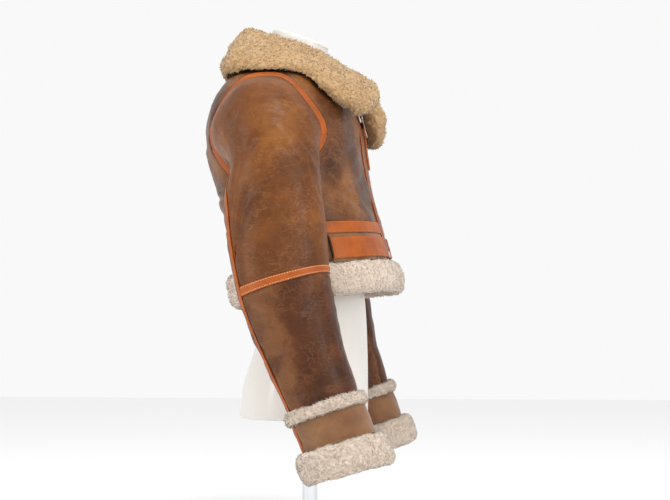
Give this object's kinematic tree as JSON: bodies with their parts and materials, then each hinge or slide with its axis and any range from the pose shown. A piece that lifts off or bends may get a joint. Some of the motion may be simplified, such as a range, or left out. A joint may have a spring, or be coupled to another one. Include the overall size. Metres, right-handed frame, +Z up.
{
  "type": "shearling jacket on dress form",
  "caption": "Cropped shearling jacket with a wide wool collar, taped seams, waist straps and wool cuffs, on a smooth limbless dress form with a pole and a round base.",
  "frame": {"origin": "on the floor, at the middle of the underside of the round base, under the pole", "axes": "+Z up, -Y the way the jacket faces, +X towards the wearer's left sleeve"},
  "size_m": [0.7014, 0.3322, 0.8392],
  "materials": {
    "brown_leather": "satin, worn",
    "suede": "matt, brushed",
    "tan_leather": "satin",
    "honey_wool": "curly fleece",
    "cream_wool": "curly fleece",
    "zip_metal": "worn",
    "dark_bronze": "satin",
    "zip_cloth": "woven",
    "form_shell": "smooth",
    "stand_chrome": "polished"
  },
  "bodies": {
    "jacket": {"front_right": "brown_leather", "front_left": "brown_leather", "back": "brown_leather", "waist_tape": "tan_leather", "waistband": "suede", "hem_wool": "cream_wool", "sleeve_upper_right": "brown_leather", "sleeve_lower_right": "brown_leather", "sleeve_under_right": "brown_leather", "elbow_tape_right": "tan_leather", "back_seam_tape_right": "tan_leather", "cuff_trim_wool_right": "cream_wool", "cuff_right": "suede", "cuff_wool_right": "cream_wool", "sleeve_upper_left": "brown_leather", "sleeve_lower_left": "brown_leather", "sleeve_under_left": "brown_leather", "elbow_tape_left": "tan_leather", "back_seam_tape_left": "tan_leather", "cuff_trim_wool_left": "cream_wool", "cuff_left": "suede", "cuff_wool_left": "cream_wool", "armhole_tape_right": "tan_leather", "armhole_tape_left": "tan_leather", "collar": "honey_wool", "zip_tape_right": "zip_cloth", "front_tape_right": "tan_leather", "zip_tape_left": "zip_cloth", "front_tape_left": "tan_leather", "zip_chain": "zip_metal", "zip_slider": "zip_metal", "throat_strap": "tan_leather", "waist_strap_right": "tan_leather", "strap_tail_right": "tan_leather", "strap_frame_right": "dark_bronze", "waist_strap_left": "tan_leather", "strap_tail_left": "tan_leather", "strap_frame_left": "dark_bronze", "form_torso": "form_shell", "form_pole": "stand_chrome", "form_base": "stand_chrome"},
    "zip_pull": {"zip_pull": "zip_metal"}
  },
  "joints": [
    {"name": "zip_pull_swing", "type": "hinge", "parent": "jacket", "child": "zip_pull", "pos_m": [0, -0.086, 0.691], "axis": [-1, 0, 0], "range_deg": [0, 80]}
  ]
}
